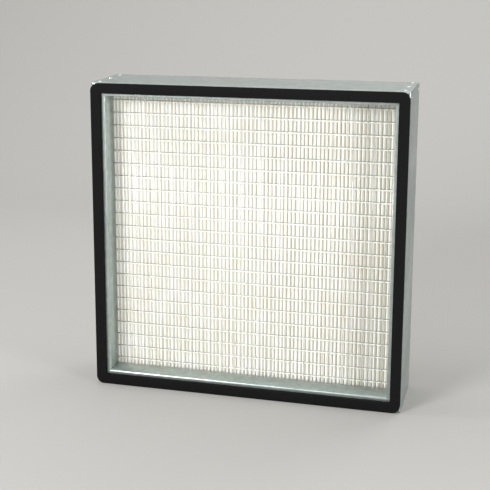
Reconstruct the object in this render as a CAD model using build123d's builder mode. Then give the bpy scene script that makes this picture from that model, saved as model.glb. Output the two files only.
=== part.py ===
from build123d import *
import os

# hepa filter panel: square galvanised casing, pleated glass-paper pack, wire face guard, flat front gasket
os.makedirs("parts", exist_ok=True)

# casing
panel_size = 610.0
casing_depth = 150.0
sheet = 1.2
flange_width = 26.0
front_return = 50.0
rear_return = 25.0
bend_radius = 3.0
mitre_gap = 0.3

# front gasket
gasket_width = 19.5
gasket_thickness = 8.0
gasket_setback = 0.5
gasket_corner_radius = 15.0

# face guard of welded wire
wire_diameter = 1.2
wire_sides = 8
mesh_across_pitch = 25.4
mesh_down_pitch = 12.7
wire_tuck = 6.0

# pleated pack and the glue threads that keep the folds apart
sealant_bed = 13.8
fold_pitch = 7.73
paper = 0.6
thread_width = 2.4
thread_depth = 1.0
thread_drop = 2.8

# corner angles and blind rivets
angle_leg = 30.0
angle_sheet = 1.5
rivet_inset = 12.0
rivet_shank_diameter = 3.2
rivet_head_diameter = 6.4
rivet_head_height = 1.1
rivet_head_slope = 50.0
rivet_tail_diameter = 4.4
rivet_tail_length = 2.0
rivet_sides = 12
rivet_depths_on_top = (18.0, 75.0, 132.0)
rivet_depths_on_sides = (18.0, 132.0)

# levels along the depth, the origin being the middle of the foot print of the whole panel
flange_face = (gasket_thickness - casing_depth) / 2
guard_front = flange_face + front_return
thread_front = guard_front + 2 * wire_diameter
paper_front = thread_front + thread_depth
casing_rear = flange_face + casing_depth
thread_rear = casing_rear - rear_return
paper_rear = thread_rear - thread_depth
middle_height = panel_size / 2
inner_width = panel_size - 2 * sheet
opening_size = panel_size - 2 * flange_width
pack_size = inner_width - 2 * sealant_bed
wire_rows = round(opening_size / mesh_across_pitch)
wire_columns = round(opening_size / mesh_down_pitch)

# blind rivets holding the upper corners, heads outside and tails inside the corner angles
rivet_grip = sheet + angle_sheet
rivet_reach = middle_height - rivet_inset
with BuildPart() as rivet:
    with BuildSketch(Plane.XY.offset(-rivet_grip - rivet_tail_length)):
        RegularPolygon(rivet_tail_diameter / 2, rivet_sides)
    extrude(amount=rivet_tail_length)
    with BuildSketch(Plane.XY.offset(-rivet_grip)):
        RegularPolygon(rivet_shank_diameter / 2, rivet_sides)
    extrude(amount=rivet_grip)
    with BuildSketch():
        RegularPolygon(rivet_head_diameter / 2, rivet_sides)
    extrude(amount=rivet_head_height, taper=rivet_head_slope)

top_rivet_places = [
    (side * rivet_reach, flange_face + level, panel_size) for side in (-1, 1) for level in rivet_depths_on_top
]
side_rivet_levels = [(flange_face + level, panel_size - rivet_inset) for level in rivet_depths_on_sides]
with BuildPart() as corner_rivets:
    with Locations(*top_rivet_places):
        add(rivet.part)
    with Locations(*[(middle_height, y, z) for y, z in side_rivet_levels]):
        add(rivet.part, rotation=(0, 90, 0))
    with Locations(*[(-middle_height, y, z) for y, z in side_rivet_levels]):
        add(rivet.part, rotation=(0, -90, 0))
corner_rivets.part.label = "corner_rivets"
export_step(corner_rivets.part, "parts/corner_rivets.step")

# mitre cut: a wedge taken off both ends of a rail
mitre_shift = mitre_gap / 2**0.5
far = middle_height + 2
near = middle_height - 2 * flange_width

# one casing rail: a folded sheet box section, slotted along its inner wall for the pack
with BuildPart() as rail:
    with BuildSketch(Plane.YZ.offset(-middle_height)) as section:
        with Locations((flange_face, middle_height)):
            Rectangle(casing_depth, flange_width, align=(Align.MIN, Align.MAX))
        fillet(section.vertices(), bend_radius)
        offset(amount=-sheet, mode=Mode.SUBTRACT)
        with Locations((guard_front, middle_height - flange_width)):
            Rectangle(thread_rear - guard_front, 3 * sheet, align=(Align.MIN, Align.CENTER), mode=Mode.SUBTRACT)
    extrude(amount=panel_size)
    with BuildSketch(Plane.XZ.offset(-casing_rear - 1)) as mitre:
        Polygon((far, far + mitre_shift), (near, near + mitre_shift), (far, near + mitre_shift), align=None)
        mirror(about=Plane.YZ)
    extrude(amount=casing_depth + 2, mode=Mode.SUBTRACT)

with BuildPart() as casing_top:
    with Locations((0, 0, middle_height)):
        add(rail.part)
    add(corner_rivets.part, mode=Mode.SUBTRACT)
casing_top.part.label = "casing_top"
export_step(casing_top.part, "parts/casing_top.step")

with BuildPart() as casing_bottom:
    with Locations((0, 0, middle_height)):
        add(rail.part, rotation=(0, 180, 0))
casing_bottom.part.label = "casing_bottom"
export_step(casing_bottom.part, "parts/casing_bottom.step")

with BuildPart() as casing_left:
    with Locations((0, 0, middle_height)):
        add(rail.part, rotation=(0, -90, 0))
    add(corner_rivets.part, mode=Mode.SUBTRACT)
casing_left.part.label = "casing_left"
export_step(casing_left.part, "parts/casing_left.step")

with BuildPart() as casing_right:
    with Locations((0, 0, middle_height)):
        add(rail.part, rotation=(0, 90, 0))
    add(corner_rivets.part, mode=Mode.SUBTRACT)
casing_right.part.label = "casing_right"
export_step(casing_right.part, "parts/casing_right.step")

# corner angles inside the casing, one per corner
with BuildPart() as corner_angles:
    with BuildSketch(Plane.XZ.offset(-flange_face - bend_radius)):
        with Locations((0, middle_height)):
            with GridLocations(inner_width - angle_leg, inner_width - angle_leg, 2, 2):
                Rectangle(angle_leg, angle_leg)
            Rectangle(inner_width - 2 * angle_sheet, inner_width - 2 * angle_sheet, mode=Mode.SUBTRACT)
    extrude(amount=2 * bend_radius - casing_depth)
    add(corner_rivets.part, mode=Mode.SUBTRACT)
corner_angles.part.label = "corner_angles"
export_step(corner_angles.part, "parts/corner_angles.step")

# flat gasket, one piece, glued on the front flange
gasket_outside = panel_size - 2 * gasket_setback
with BuildPart() as gasket:
    with BuildSketch(Plane.XZ.offset(-flange_face)) as ring:
        with Locations((0, middle_height)):
            Rectangle(gasket_outside, gasket_outside)
        fillet(ring.vertices(), gasket_corner_radius)
        with Locations((0, middle_height)):
            Rectangle(gasket_outside - 2 * gasket_width, gasket_outside - 2 * gasket_width, mode=Mode.SUBTRACT)
    extrude(amount=gasket_thickness)
gasket.part.label = "gasket"
export_step(gasket.part, "parts/gasket.step")

# face guard: upright wires in front, cross wires welded behind them
wire_length = opening_size + 2 * wire_tuck
with BuildPart() as guard_wires_down:
    with BuildSketch(Plane.XY.offset(middle_height - wire_length / 2)):
        with Locations((0, guard_front + wire_diameter / 2)):
            with GridLocations(mesh_down_pitch, 1, wire_columns, 1):
                RegularPolygon(wire_diameter / 2, wire_sides)
    extrude(amount=wire_length)
guard_wires_down.part.label = "guard_wires_down"
export_step(guard_wires_down.part, "parts/guard_wires_down.step")

with BuildPart() as guard_wires_across:
    with BuildSketch(Plane.YZ.offset(-wire_length / 2)):
        with Locations((guard_front + wire_diameter * 1.5, middle_height)):
            with GridLocations(1, mesh_across_pitch, 1, wire_rows):
                RegularPolygon(wire_diameter / 2, wire_sides)
    extrude(amount=wire_length)
guard_wires_across.part.label = "guard_wires_across"
export_step(guard_wires_across.part, "parts/guard_wires_across.step")

# pleated pack: one sheet of glass paper folded to and fro across the width, folds upright
fold_gaps = 2 * round(pack_size / fold_pitch)
fold_step = (pack_size - paper) / fold_gaps
fold_radius = fold_step / 2
outer_radius = fold_radius + paper / 2
inner_radius = fold_radius - paper / 2
crest_line = paper_front + outer_radius
valley_line = paper_rear - outer_radius
first_flank = (paper - pack_size) / 2
with BuildPart() as media:
    with BuildSketch(Plane.XY.offset((panel_size - pack_size) / 2)):
        outline = []
        for side in (-1, 1):
            face = [(first_flank + side * paper / 2, valley_line)]
            for gap in range(fold_gaps):
                at_front = gap % 2 == 0
                turn = 1 if at_front else -1
                level = crest_line if at_front else valley_line
                middle = first_flank + (gap + 0.5) * fold_step
                radius = fold_radius - side * turn * paper / 2
                shoulder = radius / 2**0.5
                face.append((middle - radius, level))
                face.append((middle - shoulder, level - turn * shoulder))
                face.append((middle, level - turn * radius))
                face.append((middle + shoulder, level - turn * shoulder))
                face.append((middle + radius, level))
            face.append((side * paper / 2 - first_flank, crest_line))
            outline += face[::side]
        with BuildLine():
            Polyline(*outline, close=True)
        make_face()
    extrude(amount=pack_size)
media.part.label = "media"
export_step(media.part, "parts/media.step")

# glue threads laid across the folds, in front and behind
with BuildPart() as threads_front:
    with BuildSketch(Plane.YZ.offset(-pack_size / 2)):
        with Locations((thread_front + thread_depth / 2, middle_height - thread_drop)):
            with GridLocations(1, mesh_across_pitch, 1, wire_rows):
                Rectangle(thread_depth, thread_width)
    extrude(amount=pack_size)
threads_front.part.label = "threads_front"
export_step(threads_front.part, "parts/threads_front.step")

with BuildPart() as threads_rear:
    with Locations((0, paper_rear - thread_front, 0)):
        add(threads_front.part)
threads_rear.part.label = "threads_rear"
export_step(threads_rear.part, "parts/threads_rear.step")

# cast sealant: one ring round the pack, filling the casing between the two returns
with BuildPart() as sealant:
    with BuildSketch(Plane.XZ.offset(-paper_front)):
        with Locations((0, middle_height)):
            Rectangle(inner_width, inner_width)
            Rectangle(pack_size, pack_size, mode=Mode.SUBTRACT)
    extrude(amount=paper_front - paper_rear)
    add(corner_angles.part, mode=Mode.SUBTRACT)
    add(corner_rivets.part, mode=Mode.SUBTRACT)
sealant.part.label = "sealant"
export_step(sealant.part, "parts/sealant.step")
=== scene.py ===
import math
import random
import bmesh
import bpy
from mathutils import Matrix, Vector


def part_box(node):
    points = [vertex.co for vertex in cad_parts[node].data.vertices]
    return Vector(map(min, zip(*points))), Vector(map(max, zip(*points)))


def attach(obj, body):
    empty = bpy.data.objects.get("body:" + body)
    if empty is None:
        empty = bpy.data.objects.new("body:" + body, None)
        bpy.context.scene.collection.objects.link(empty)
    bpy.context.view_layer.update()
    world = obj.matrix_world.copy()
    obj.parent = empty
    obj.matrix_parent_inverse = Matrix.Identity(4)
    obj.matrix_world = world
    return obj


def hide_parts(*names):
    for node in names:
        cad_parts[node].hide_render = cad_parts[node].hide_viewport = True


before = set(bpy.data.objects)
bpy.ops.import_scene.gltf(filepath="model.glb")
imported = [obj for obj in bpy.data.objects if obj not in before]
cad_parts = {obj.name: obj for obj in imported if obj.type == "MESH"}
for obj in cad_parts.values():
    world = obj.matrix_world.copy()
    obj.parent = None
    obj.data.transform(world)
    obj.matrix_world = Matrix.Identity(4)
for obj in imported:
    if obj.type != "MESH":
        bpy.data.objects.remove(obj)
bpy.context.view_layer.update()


# Casing: four rails folded from galvanised steel sheet, mitred at the corners and closed round the pack.
# Each rail is one blank bent to a box, with a slot along its inner wall that takes the pack, and is unpainted.
def tone(code):
    """One sRGB hex colour as a linear RGBA tuple."""
    parts = [int(code[i:i + 2], 16) / 255 for i in (0, 2, 4)]
    return tuple(c / 12.92 if c <= 0.04045 else ((c + 0.055) / 1.055) ** 2.4 for c in parts) + (1.0,)


def per_metre(millimetres):
    """Scale of a pattern that repeats at a real spacing."""
    return 1000 / millimetres


def node(material, kind, sockets=None, **settings):
    """Adds one shader node with its settings. Each socket, by name or number, gets a value or an output."""
    made = material.node_tree.nodes.new(kind)
    for name, value in settings.items():
        setattr(made, name, value)
    for name, value in (sockets or {}).items():
        if isinstance(value, bpy.types.NodeSocket):
            material.node_tree.links.new(value, made.inputs[name])
        else:
            made.inputs[name].default_value = value
    return made


def surface(name, **values):
    """A new material, its principled shader and the object coordinates that its patterns use."""
    material = bpy.data.materials.new(name)
    material.use_nodes = True
    shader = material.node_tree.nodes["Principled BSDF"]
    for socket, value in values.items():
        shader.inputs[socket.replace("_", " ")].default_value = value
    return material, shader, node(material, "ShaderNodeTexCoord").outputs["Object"]


def drive(material, source, target):
    """Joins one output to one input."""
    material.node_tree.links.new(source, target)


def ramp(material, source, *stops):
    """A colour ramp driven by a value, each stop a place and an sRGB hex colour."""
    made = node(material, "ShaderNodeValToRGB", {"Fac": source})
    points = made.color_ramp.elements
    while len(points) < len(stops):
        points.new(0.5)
    for point, (place, code) in zip(points, stops):
        point.position = place
        point.color = tone(code)
    return made.outputs["Color"]


def wear(name, material):
    """Gives a CAD piece its material."""
    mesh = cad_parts[name].data
    mesh.materials.clear()
    mesh.materials.append(material)


casing_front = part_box("casing_left")[0].y
casing_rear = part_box("casing_left")[1].y
casing_half = 0.305
roll_reach = 0.036
roll_depth = 0.013
face_margin = 0.02

# Galvanised steel: a satin metal, drawn with soft zinc crystals about 12 mm wide under broad dull clouds.
zinc, zinc_shader, zinc_place = surface("galvanised steel", Metallic=0.92)
patches = node(
    zinc, "ShaderNodeTexVoronoi", {"Vector": zinc_place, "Scale": per_metre(11.76), "Smoothness": 0.4},
    feature="SMOOTH_F1",
)
patch_tone = ramp(zinc, patches.outputs["Distance"], (0.0, "c6cecc"), (0.55, "b9c2c0"), (1.0, "acb5b3"))
clouds = node(zinc, "ShaderNodeTexNoise", {"Vector": zinc_place, "Scale": per_metre(143), "Detail": 4.0})
cloud_tone = ramp(zinc, clouds.outputs["Fac"], (0.35, "f6f7f5"), (0.65, "e2e5e3"))
zinc_mix = node(
    zinc, "ShaderNodeMixRGB", {"Fac": 1.0, "Color1": patch_tone, "Color2": cloud_tone},
    blend_type="MULTIPLY",
)
drive(zinc, zinc_mix.outputs["Color"], zinc_shader.inputs["Base Color"])
satin = node(
    zinc, "ShaderNodeMapRange",
    {"Value": clouds.outputs["Fac"], "From Min": 0.3, "From Max": 0.7, "To Min": 0.32, "To Max": 0.44},
)
drive(zinc, satin.outputs["Result"], zinc_shader.inputs["Roughness"])

# A bump makes the inner walls shade as if they rolled gently outwards to the flange, which spreads the light
# along them in a soft band.
# The bump works only inside the outer faces, over the first part of the depth.
zinc_axes = node(zinc, "ShaderNodeSeparateXYZ", {"Vector": zinc_place})
depth_in = node(
    zinc, "ShaderNodeMapRange",
    {"Value": zinc_axes.outputs["Y"], "From Min": casing_front, "From Max": casing_front + roll_reach},
)
depth_left = node(zinc, "ShaderNodeMath", {0: 1.0, 1: depth_in.outputs["Result"]}, operation="SUBTRACT")
roll = node(zinc, "ShaderNodeMath", {0: depth_left.outputs["Value"], 1: 2.0}, operation="POWER")
sideways = node(zinc, "ShaderNodeMath", {0: zinc_axes.outputs["X"]}, operation="ABSOLUTE")
lowered = node(zinc, "ShaderNodeMath", {0: zinc_axes.outputs["Z"], 1: casing_half}, operation="SUBTRACT")
upwards = node(zinc, "ShaderNodeMath", {0: lowered.outputs["Value"]}, operation="ABSOLUTE")
reach = node(
    zinc, "ShaderNodeMath", {0: sideways.outputs["Value"], 1: upwards.outputs["Value"]}, operation="MAXIMUM"
)
inside = node(
    zinc, "ShaderNodeMath", {0: reach.outputs["Value"], 1: casing_half - face_margin}, operation="LESS_THAN"
)
roll_inside = node(
    zinc, "ShaderNodeMath", {0: roll.outputs["Value"], 1: inside.outputs["Value"]}, operation="MULTIPLY"
)
roll_bump = node(
    zinc, "ShaderNodeBump",
    {"Height": roll_inside.outputs["Value"], "Strength": 1.0, "Distance": roll_depth},
    invert=True,
)

# Thin sheet is never quite flat: slow ripples about 70 mm long, and a fine grain from the zinc bath.
ripple = node(zinc, "ShaderNodeTexNoise", {"Vector": zinc_place, "Scale": per_metre(71.4), "Detail": 2.0})
ripple_bump = node(
    zinc, "ShaderNodeBump",
    {
        "Height": ripple.outputs["Fac"], "Normal": roll_bump.outputs["Normal"],
        "Strength": 0.3, "Distance": 0.0006,
    },
)
grain = node(zinc, "ShaderNodeTexNoise", {"Vector": zinc_place, "Scale": per_metre(1.11), "Detail": 2.0})
grain_bump = node(
    zinc, "ShaderNodeBump",
    {
        "Height": grain.outputs["Fac"], "Normal": ripple_bump.outputs["Normal"],
        "Strength": 0.12, "Distance": 0.0001,
    },
)
drive(zinc, grain_bump.outputs["Normal"], zinc_shader.inputs["Normal"])
for rail in ("casing_top", "casing_bottom", "casing_left", "casing_right"):
    wear(rail, zinc)


# Corner seams: the open joint lines where two rails meet, in the recess in front and at the return behind.
# Each is a fine dark strip across the inner corner, running in from the flange: painted shade for the shadow
# held in the open joint, together with traces of old sealant.
def build(name, verts, faces, material, replaced, smooth=True):
    """A closed mesh piece that moves with the panel. It takes the place of one CAD node, if one is named."""
    mesh = bpy.data.meshes.new(name)
    mesh.from_pydata(verts, [], faces)
    joined = bmesh.new()
    joined.from_mesh(mesh)
    bmesh.ops.remove_doubles(joined, verts=joined.verts, dist=0.000001)
    bmesh.ops.recalc_face_normals(joined, faces=joined.faces)
    joined.to_mesh(mesh)
    joined.free()
    mesh.polygons.foreach_set("use_smooth", [smooth] * len(mesh.polygons))
    mesh.materials.append(material)
    mesh.validate()
    piece = bpy.data.objects.new(name, mesh)
    bpy.context.scene.collection.objects.link(piece)
    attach(piece, "root")
    if replaced:
        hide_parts(replaced)
    return piece


seam_width = 0.0009
seam_lift = 0.0001
rim_clearance = 0.002
wall_inset = 0.026
recess_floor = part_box("guard_wires_down")[0].y
rear_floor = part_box("threads_rear")[1].y
seam_runs = ((casing_front + rim_clearance, recess_floor), (rear_floor, casing_rear - rim_clearance))
seam_reach = casing_half - wall_inset + seam_lift
verts, faces = [], []
for side_x, side_z in ((1, 1), (-1, 1), (-1, -1), (1, -1)):
    corner_x, corner_z = side_x * seam_reach, casing_half + side_z * seam_reach
    for start, end in seam_runs:
        base = len(verts)
        for y in (start, end):
            verts.append((corner_x, y, corner_z))
            verts.append((corner_x - side_x * seam_width, y, corner_z))
            verts.append((corner_x, y, corner_z - side_z * seam_width))
        faces += [(base, base + 1, base + 2), (base + 3, base + 5, base + 4)]
        for i in range(3):
            j = (i + 1) % 3
            faces.append((base + i, base + 3 + i, base + 3 + j, base + j))
# Seam shadow: painted shade, matt and nearly black, mottled every few millimetres.
seam, seam_shader, seam_place = surface("seam shadow", Roughness=0.7)
seam_shade_mottle = node(seam, "ShaderNodeTexNoise", {"Vector": seam_place, "Scale": per_metre(3.33), "Detail": 2.0})
painted_seam_shade = ramp(seam, seam_shade_mottle.outputs["Fac"], (0.3, "2c3030"), (0.7, "4a4f4e"))
drive(seam, painted_seam_shade, seam_shader.inputs["Base Color"])
build("corner_seams", verts, faces, seam, None, smooth=False)

# Corner angles: short folded angles of the same galvanised sheet, one inside each corner.
# The rivets pull the upper rails against them, and the sealant hides them once the pack is cast in.
wear("corner_angles", zinc)

# Corner rivets: aluminium blind rivets set from outside, three on top and two beside at each upper corner.
# Each has a low domed head with the broken stem sunk in it, and a plain collar behind the corner angle.
casing_height = 2 * casing_half
rivet_inset = 0.012
rivet_depths_on_top = (0.018, 0.075, 0.132)
rivet_depths_on_sides = (0.018, 0.132)
# half section of one rivet, radius and height above the sheet, in millimetres from the tail to the stem
rivet_profile = (
    (0.0, -4.7), (2.2, -4.7), (2.2, -2.7), (1.6, -2.7), (1.6, 0.0), (3.2, 0.0), (3.2, 0.25), (2.95, 0.6),
    (2.3, 0.92), (1.4, 1.08), (1.05, 1.1), (0.95, 0.95), (0.9, 0.5), (0.0, 0.45),
)
rivet_steps = 24
rivet_places = []
for side in (-1, 1):
    for depth in rivet_depths_on_top:
        place = Vector((side * (casing_half - rivet_inset), casing_front + depth, casing_height))
        rivet_places.append((place, Vector((0, 0, 1))))
    for depth in rivet_depths_on_sides:
        place = Vector((side * casing_half, casing_front + depth, casing_height - rivet_inset))
        rivet_places.append((place, Vector((side, 0, 0))))
verts, faces = [], []
for place, axis in rivet_places:
    across = Vector((0, 1, 0))
    upright = axis.cross(across)
    for level, (radius, height) in enumerate(rivet_profile):
        base = len(verts)
        for i in range(rivet_steps):
            turn = 2 * math.pi * i / rivet_steps
            spoke = across * math.cos(turn) + upright * math.sin(turn)
            verts.append(place + spoke * radius / 1000 + axis * height / 1000)
        if level:
            for i in range(rivet_steps):
                j = (i + 1) % rivet_steps
                faces.append((base - rivet_steps + i, base - rivet_steps + j, base + j, base + i))
# Bright aluminium: shiny enough that the heads read as light specks beside the corner seam.
bright, bright_shader, bright_place = surface("bright aluminium", Metallic=1.0, Roughness=0.25)
scuffs = node(
    bright, "ShaderNodeTexNoise", {"Vector": bright_place, "Scale": per_metre(1.11), "Detail": 2.0}
)
bright_tone = ramp(bright, scuffs.outputs["Fac"], (0.3, "eceded"), (0.7, "d3d6d8"))
drive(bright, bright_tone, bright_shader.inputs["Base Color"])
build("blind_rivets", verts, faces, bright, "corner_rivets")

# Media: one sheet of glass-fibre paper folded to and fro across the panel, folds upright, edges cast in.
# No two folds stand quite alike, so each flank gets its own small lean and a slow wave from bottom to top.
media_low, media_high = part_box("media")
pack_height = 0.58
sheet_thickness = 0.0006
gaps = 150
lean_reach = 0.00014
wave_reach = 0.00017
rows = 40
turn_steps = 5
first_flank = media_low.x + sheet_thickness / 2
flank_step = (media_high.x - media_low.x - sheet_thickness) / gaps
crest_level = media_low.y + flank_step / 2 + sheet_thickness / 2
valley_level = media_high.y - flank_step / 2 - sheet_thickness / 2
chance = random.Random(11)
waves = []
for _ in range(gaps + 1):
    lean, swing = chance.uniform(-1, 1), chance.uniform(0.4, 1.0)
    pace, phase = chance.uniform(5, 14), chance.uniform(0, 6.28)
    waves.append((lean, swing, pace, phase))
# the two edge flanks are held straight by the sealant
waves[0] = waves[gaps] = (0.0, 0.0, 1.0, 0.0)


def flank(index, z):
    """Place of one fold flank across the panel, with its small lean and wave."""
    lean, swing, pace, phase = waves[index]
    wave = math.sin(pace * math.pi * z / pack_height + phase)
    return first_flank + index * flank_step + lean_reach * lean + wave_reach * swing * wave


verts, faces = [], []
for row in range(rows + 1):
    z = media_low.z + (media_high.z - media_low.z) * row / rows
    for side in (-1, 1):
        verts.append((flank(0, z) + side * sheet_thickness / 2, valley_level, z))
        for gap in range(gaps):
            turn = 1 if gap % 2 == 0 else -1
            level = crest_level if turn == 1 else valley_level
            left, right = flank(gap, z), flank(gap + 1, z)
            middle = (left + right) / 2
            radius = (right - left) / 2 - side * turn * sheet_thickness / 2
            for step in range(turn_steps + 1):
                angle = math.pi * step / turn_steps
                x, y = middle - radius * math.cos(angle), level - turn * radius * math.sin(angle)
                verts.append((x, y, z))
        verts.append((flank(gaps, z) + side * sheet_thickness / 2, crest_level, z))
# each row holds two lines of points, one for each face of the sheet
line = gaps * (turn_steps + 1) + 2
for row in range(rows):
    near, far = 2 * line * row, 2 * line * (row + 1)
    for i in range(line - 1):
        faces.append((near + i, near + i + 1, far + i + 1, far + i))
        faces.append((near + line + i + 1, near + line + i, far + line + i, far + line + i + 1))
    for i in (0, line - 1):
        faces.append((near + i, far + i, far + line + i, near + line + i))
for base in (0, 2 * line * rows):
    for i in range(line - 1):
        faces.append((base + i, base + line + i, base + line + i + 1, base + i + 1))

# Glass fibre paper: matt, chalk white on the crests and painted a little darker and cream on the way down,
# painted shade and bounced light in the folds, with faint stains.
paper_fade = 0.02
paper, paper_shader, paper_place = surface("glass fibre paper", Roughness=0.9, Specular_IOR_Level=0.2)
paper_axes = node(paper, "ShaderNodeSeparateXYZ", {"Vector": paper_place})
fold_depth = node(
    paper, "ShaderNodeMapRange",
    {"Value": paper_axes.outputs["Y"], "From Min": media_low.y, "From Max": media_low.y + paper_fade},
)
# Painted shade: the base colour turns a little darker and cream over the first 20 mm down from each crest.
painted_fold_shade = ramp(
    paper, fold_depth.outputs["Result"], (0.0, "f3f3f2"), (0.12, "f2f2f0"), (0.4, "f0efea"), (1.0, "ebe9e0")
)
stains = node(paper, "ShaderNodeTexNoise", {"Vector": paper_place, "Scale": per_metre(33.3), "Detail": 3.0})
stain_tone = ramp(paper, stains.outputs["Fac"], (0.3, "ffffff"), (0.75, "f8f6ee"))
paper_mix = node(
    paper, "ShaderNodeMixRGB", {"Fac": 1.0, "Color1": painted_fold_shade, "Color2": stain_tone},
    blend_type="MULTIPLY",
)
drive(paper, paper_mix.outputs["Color"], paper_shader.inputs["Base Color"])
# Light passes through the thin paper from fold to fold, so the gaps stay pale instead of going dark.
# A weak glow stands for it: none on the crests, most just behind them.
through_light = ramp(
    paper, fold_depth.outputs["Result"],
    (0.0, "000000"), (0.05, "4c4c4b"), (0.1, "727270"), (0.2, "a09f9a"), (0.3, "9b9991"), (1.0, "89877d"),
)
drive(paper, through_light, paper_shader.inputs["Emission Color"])
paper_shader.inputs["Emission Strength"].default_value = 0.35
# Real fibres are far finer than a pixel; these are drawn 1.4 mm apart to give the matt a slight tooth.
fibres = node(paper, "ShaderNodeTexNoise", {"Vector": paper_place, "Scale": per_metre(1.43), "Detail": 3.0})
fibre_bump = node(
    paper, "ShaderNodeBump", {"Height": fibres.outputs["Fac"], "Strength": 0.2, "Distance": 0.0002}
)
drive(paper, fibre_bump.outputs["Normal"], paper_shader.inputs["Normal"])
build("pleated_media", verts, faces, paper, "media")

# Glue threads: beads of hot-melt glue run across the crests, front and back, that hold the folds apart.
# Each bead sags a little and spreads where it bridges two crests, and no two lie at quite the same height.
bead_rows = 22
bead_pitch = 0.0254
bead_height = 0.0024
bead_thick = 0.0005
bead_swell = 0.0003
bead_sag = 0.0009
bead_narrow = 0.85
bead_spread = 0.45
bead_lean = 0.0002
bead_steps = 5
bead_ring = 6
stations = gaps // 2 * bead_steps
# Hot-melt glue: milky white with a slight gloss and soft lumps. A weak glow, painted light like that of the
# paper behind it, stands for light passing through the glue.
glue, glue_shader, glue_place = surface("hot melt glue", Roughness=0.35)
lumps = node(glue, "ShaderNodeTexNoise", {"Vector": glue_place, "Scale": per_metre(6.25), "Detail": 2.0})
glue_tone = ramp(glue, lumps.outputs["Fac"], (0.3, "fafaf4"), (0.7, "f1efe2"))
drive(glue, glue_tone, glue_shader.inputs["Base Color"])
glue_shader.inputs["Emission Color"].default_value = tone("8f8d84")
glue_shader.inputs["Emission Strength"].default_value = 0.25
# name of the piece, the CAD node that it stands for, and the gap between flanks where its first crest is
bead_sets = (("glue_beads_front", "threads_front", 0), ("glue_beads_rear", "threads_rear", 1))
for name, replaced, first_crest in bead_sets:
    low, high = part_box(replaced)
    inward = -1 if first_crest else 1
    outer = high.y if first_crest else low.y
    middle_z = (low.z + high.z) / 2
    verts, faces = [], []
    for bead in range(bead_rows):
        z = middle_z + (bead - (bead_rows - 1) / 2) * bead_pitch + chance.uniform(-bead_lean, bead_lean)
        for station in range(stations + 1):
            x = low.x + (high.x - low.x) * station / stations
            fold = (x - media_low.x) / flank_step - 0.5 - first_crest
            sunk = (1 - math.cos(math.pi * fold)) / 2
            thick = bead_thick + bead_swell * sunk
            spread = bead_height / 2 * (bead_narrow + bead_spread * sunk)
            base = len(verts)
            for i in range(bead_ring):
                angle = 2 * math.pi * i / bead_ring
                y = outer + inward * (thick * (1 + math.sin(angle)) + bead_sag * sunk)
                verts.append((x, y, z + spread * math.cos(angle)))
            if station:
                for i in range(bead_ring):
                    j = (i + 1) % bead_ring
                    faces.append((base - bead_ring + i, base - bead_ring + j, base + j, base + i))
            if station in (0, stations):
                faces.append(tuple(range(base, base + bead_ring)))
    build(name, verts, faces, glue, replaced)

# Sealant: polyurethane cast between the pack and the casing, which makes the panel tight.
# It lies behind the returns of the rails, so it is seen only where the casing is open.
cast, cast_shader, cast_place = surface("cast polyurethane", Roughness=0.5)
# Cast polyurethane: pale cream with a half gloss, its tone shifting over cured ripples 25 mm wide.
cured = node(cast, "ShaderNodeTexNoise", {"Vector": cast_place, "Scale": per_metre(25), "Detail": 3.0})
cast_tone = ramp(cast, cured.outputs["Fac"], (0.3, "dcd7c3"), (0.7, "d0cab3"))
drive(cast, cast_tone, cast_shader.inputs["Base Color"])
wear("sealant", cast)

# Face guard: a mesh of zinc-coated steel wire, uprights in front and cross wires welded behind them.
# All ends are tucked into the slot of the rails, just in front of the pack.
wire_radius = 0.0006
wire_facets = 12
wires_down = 44
wires_across = 22
across_pitch = bead_pitch
down_pitch = across_pitch / 2
down_low, down_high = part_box("guard_wires_down")
across_low, across_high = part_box("guard_wires_across")
guard_middle = (down_low.z + down_high.z) / 2
down_places = [(i - (wires_down - 1) / 2) * down_pitch for i in range(wires_down)]
across_places = [guard_middle + (i - (wires_across - 1) / 2) * across_pitch for i in range(wires_across)]
down_y = down_low.y + wire_radius
across_y = across_high.y - wire_radius


def add_wire(verts, faces, start, end):
    """Appends one straight round wire with closed ends."""
    axis = (end - start).normalized()
    first = axis.orthogonal().normalized()
    second = axis.cross(first)
    base = len(verts)
    for place in (start, end):
        for i in range(wire_facets):
            turn = 2 * math.pi * i / wire_facets
            verts.append(place + (first * math.cos(turn) + second * math.sin(turn)) * wire_radius)
    for i in range(wire_facets):
        j = (i + 1) % wire_facets
        faces.append((base + i, base + j, base + wire_facets + j, base + wire_facets + i))
    faces.append(tuple(base + i for i in reversed(range(wire_facets))))
    faces.append(tuple(base + wire_facets + i for i in range(wire_facets)))


# Zinc wire with painted light: the uprights catch the side light, so their tone is painted paler than the
# cross wires', and they show as thin pale lines.
lit_wire, lit_wire_shader, lit_wire_place = surface("zinc wire with painted light", Metallic=0.5, Roughness=0.3)
streaks = node(lit_wire, "ShaderNodeTexNoise", {"Vector": lit_wire_place, "Scale": per_metre(11.1), "Detail": 2.0})
lit_wire_tone = ramp(lit_wire, streaks.outputs["Fac"], (0.35, "dcdedc"), (0.65, "f0f0ec"))
drive(lit_wire, lit_wire_tone, lit_wire_shader.inputs["Base Color"])
verts, faces = [], []
for x in down_places:
    add_wire(verts, faces, Vector((x, down_y, down_low.z)), Vector((x, down_y, down_high.z)))
build("guard_uprights", verts, faces, lit_wire, "guard_wires_down")

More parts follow.
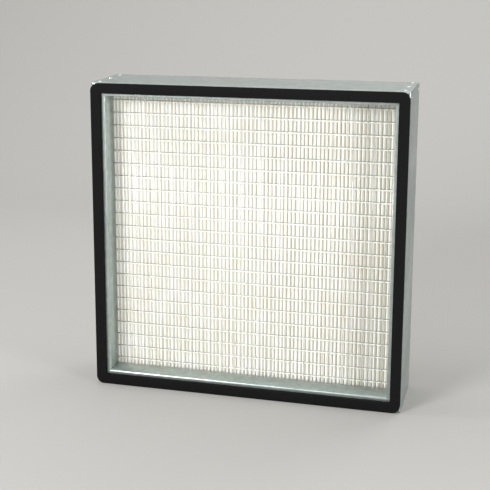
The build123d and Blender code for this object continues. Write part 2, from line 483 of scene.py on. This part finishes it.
# Zinc wire with painted shade: the same wire as the uprights, a little duller and painted a tone darker for
# the light they miss, so the cross wires show as fine grey lines.
shaded_wire, shaded_wire_shader, shaded_wire_place = surface("zinc coated wire", Metallic=0.7, Roughness=0.38)
bloom = node(shaded_wire, "ShaderNodeTexNoise", {"Vector": shaded_wire_place, "Scale": per_metre(8.33), "Detail": 2.0})
shaded_wire_tone = ramp(shaded_wire, bloom.outputs["Fac"], (0.35, "a2a6a6"), (0.65, "b8bcba"))
drive(shaded_wire, shaded_wire_tone, shaded_wire_shader.inputs["Base Color"])
verts, faces = [], []
for z in across_places:
    add_wire(verts, faces, Vector((across_low.x, across_y, z)), Vector((across_high.x, across_y, z)))
build("guard_cross_wires", verts, faces, shaded_wire, "guard_wires_across")

# Guard welds: a small squashed bead of fused zinc and steel at each crossing of the guard.
# It is part of the two wires that it joins, and is pressed flat before and behind.
weld_reach = 0.00068
weld_depth = 0.00065
weld_facets = 6
weld_y = (down_y + across_y) / 2
verts, faces = [], []
for x in down_places:
    for z in across_places:
        base = len(verts)
        verts.append((x, weld_y - weld_depth, z))
        for ring_y in (weld_y - weld_depth / 2, weld_y + weld_depth / 2):
            for i in range(weld_facets):
                turn = 2 * math.pi * i / weld_facets
                verts.append((x + weld_reach * math.cos(turn), ring_y, z + weld_reach * math.sin(turn)))
        verts.append((x, weld_y + weld_depth, z))
        front_ring, rear_ring = base + 1, base + 1 + weld_facets
        for i in range(weld_facets):
            j = (i + 1) % weld_facets
            faces.append((base, front_ring + i, front_ring + j))
            faces.append((front_ring + i, rear_ring + i, rear_ring + j, front_ring + j))
            faces.append((rear_ring + i, rear_ring + weld_facets, rear_ring + j))
# Weld mark: the heat leaves the metal darker and duller than the wire, in spots of about 2 mm.
weld, weld_shader, weld_place = surface("weld mark", Metallic=0.6, Roughness=0.55)
burn = node(weld, "ShaderNodeTexNoise", {"Vector": weld_place, "Scale": per_metre(2), "Detail": 2.0})
weld_tone = ramp(weld, burn.outputs["Fac"], (0.3, "707476"), (0.7, "8e9290"))
drive(weld, weld_tone, weld_shader.inputs["Base Color"])
build("guard_welds", verts, faces, weld, None)

# Gasket: one flat ring of closed-cell foam rubber, cut from sheet and glued on the front flange.
# Its outer corners are rounded and its inner corners square, and the cut edges have gone a little soft.
gasket_low, gasket_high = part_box("gasket")
strip_width = 0.0195
corner_radius = 0.015
edge_softness = 0.0008
corner_steps = 12
edge_steps = 3
gasket_half = (gasket_high.x - gasket_low.x) / 2
gasket_middle = (gasket_high.z + gasket_low.z) / 2
opening_half = gasket_half - strip_width
corner_centre = gasket_half - corner_radius
# one entry for each point round the ring: the signs of its corner, and its direction from that corner
ring = []
for quarter, (side_x, side_z) in enumerate(((1, 1), (-1, 1), (-1, -1), (1, -1))):
    for step in range(corner_steps + 1):
        turn = math.pi / 2 * (quarter + step / corner_steps)
        ring.append((side_x, side_z, math.cos(turn), math.sin(turn)))
levels = [(0.0, gasket_high.y)]
for step in range(edge_steps + 1):
    turn = math.pi / 2 * step / edge_steps
    inset, drop = edge_softness * (1 - math.cos(turn)), edge_softness * (1 - math.sin(turn))
    levels.append((inset, gasket_low.y + drop))
verts, faces = [], []
for inset, y in levels:
    reach = corner_radius - inset
    for side_x, side_z, cosine, sine in ring:
        x, z = side_x * corner_centre + reach * cosine, side_z * corner_centre + reach * sine
        verts.append((x, y, gasket_middle + z))
for inset, y in reversed(levels):
    reach = opening_half + inset
    for side_x, side_z, cosine, sine in ring:
        verts.append((side_x * reach, y, gasket_middle + side_z * reach))
loops = 2 * len(levels)
for loop in range(loops):
    here, there = loop * len(ring), (loop + 1) % loops * len(ring)
    for i in range(len(ring)):
        j = (i + 1) % len(ring)
        faces.append((here + i, here + j, there + j, there + i))
# Black foam rubber: a dull skin with almost no highlight. The closed cells are drawn 0.7 mm wide.
foam, foam_shader, foam_place = surface("black foam rubber", Roughness=0.75, Specular_IOR_Level=0.08)
pores = node(foam, "ShaderNodeTexNoise", {"Vector": foam_place, "Scale": per_metre(0.714), "Detail": 3.0})
foam_tone = ramp(foam, pores.outputs["Fac"], (0.35, "0e0e0e"), (0.7, "161616"))
drive(foam, foam_tone, foam_shader.inputs["Base Color"])
foam_bump = node(
    foam, "ShaderNodeBump", {"Height": pores.outputs["Fac"], "Strength": 0.3, "Distance": 0.0003}
)
drive(foam, foam_bump.outputs["Normal"], foam_shader.inputs["Normal"])
build("gasket_ring", verts, faces, foam, "gasket")

# Stage: a pale grey card sweep, floor and back wall in one, as in a product studio.
# It runs out in front of the panel and rises behind it in one wide bend, so that no edge shows.
sweep_half_width = 6.0
sweep_front = -3.4
sweep_back = 3.0
bend_reach = 1.6
wall_height = 6.0
bend_steps = 24
profile = [(sweep_front, 0.0)]
for i in range(bend_steps + 1):
    angle = math.pi / 2 * i / bend_steps
    back, up = bend_reach * math.sin(angle), bend_reach * (1 - math.cos(angle))
    profile.append((sweep_back - bend_reach + back, up))
profile.append((sweep_back, wall_height))
verts = [(x, y, z) for y, z in profile for x in (-sweep_half_width, sweep_half_width)]
faces = [(2 * i, 2 * i + 1, 2 * i + 3, 2 * i + 2) for i in range(len(profile) - 1)]
sweep_mesh = bpy.data.meshes.new("sweep")
sweep_mesh.from_pydata(verts, [], faces)
sweep_mesh.polygons.foreach_set("use_smooth", [True] * len(faces))
sweep = bpy.data.objects.new("sweep", sweep_mesh)
bpy.context.scene.collection.objects.link(sweep)
card, card_shader, _ = surface("grey background card", Roughness=0.85)
card_shader.inputs["Base Color"].default_value = tone("a6a4a1")
sweep_mesh.materials.append(card)

# Studio light: a soft key panel from the left front, a fill from the right and a wide ceiling overhead.
# Two more panels light the card and the rear edges, and an even pale surround fills the shadows.
world = bpy.data.worlds.new("studio surround")
bpy.context.scene.world = world
world.use_nodes = True
world.node_tree.nodes["Background"].inputs["Color"].default_value = tone("eeeeee")
world.node_tree.nodes["Background"].inputs["Strength"].default_value = 0.42


def panel_light(name, place, target, size, watts):
    """One soft rectangular light, aimed at a point."""
    lamp = bpy.data.lights.new(name, "AREA")
    lamp.shape = "RECTANGLE"
    lamp.size, lamp.size_y = size
    lamp.energy = watts
    holder = bpy.data.objects.new(name, lamp)
    holder.location = place
    holder.rotation_euler = (Vector(target) - Vector(place)).to_track_quat("-Z", "Y").to_euler()
    bpy.context.scene.collection.objects.link(holder)


panel_light("key", (-1.2, -2.5, 1.45), (0, 0, 0.3), (0.9, 0.9), 72.0)
panel_light("fill", (2.3, -1.3, 0.6), (0, 0, 0.25), (0.8, 1.0), 44.0)
panel_light("overhead", (-0.3, 0.5, 2.8), (0, 0, 0.1), (4.6, 4.0), 78.0)
panel_light("backdrop", (-2.6, -0.4, 2.6), (-1.6, 3.0, 1.4), (1.2, 1.2), 39.0)
panel_light("back", (1.5, 2.3, 2.9), (0, 0, 0.3), (1.4, 1.2), 24.0)

# Camera: to the right of the panel and a little above it, looking at its face.
# The lens is long and slightly shifted, which keeps the uprights of the panel nearly parallel.
lens = bpy.data.cameras.new("camera")
lens.lens = 85.479
lens.sensor_width = 36.0
lens.shift_x = 0.10204
lens.shift_y = -0.10204
lens.clip_end = 60.0
camera = bpy.data.objects.new("camera", lens)
camera.location = (0.5142, -2.1603, 0.8735)
camera.rotation_euler = tuple(math.radians(a) for a in (77.7172, 0.2959, 16.257))
bpy.context.scene.collection.objects.link(camera)
bpy.context.scene.camera = camera
bpy.context.scene.view_settings.view_transform = "Standard"
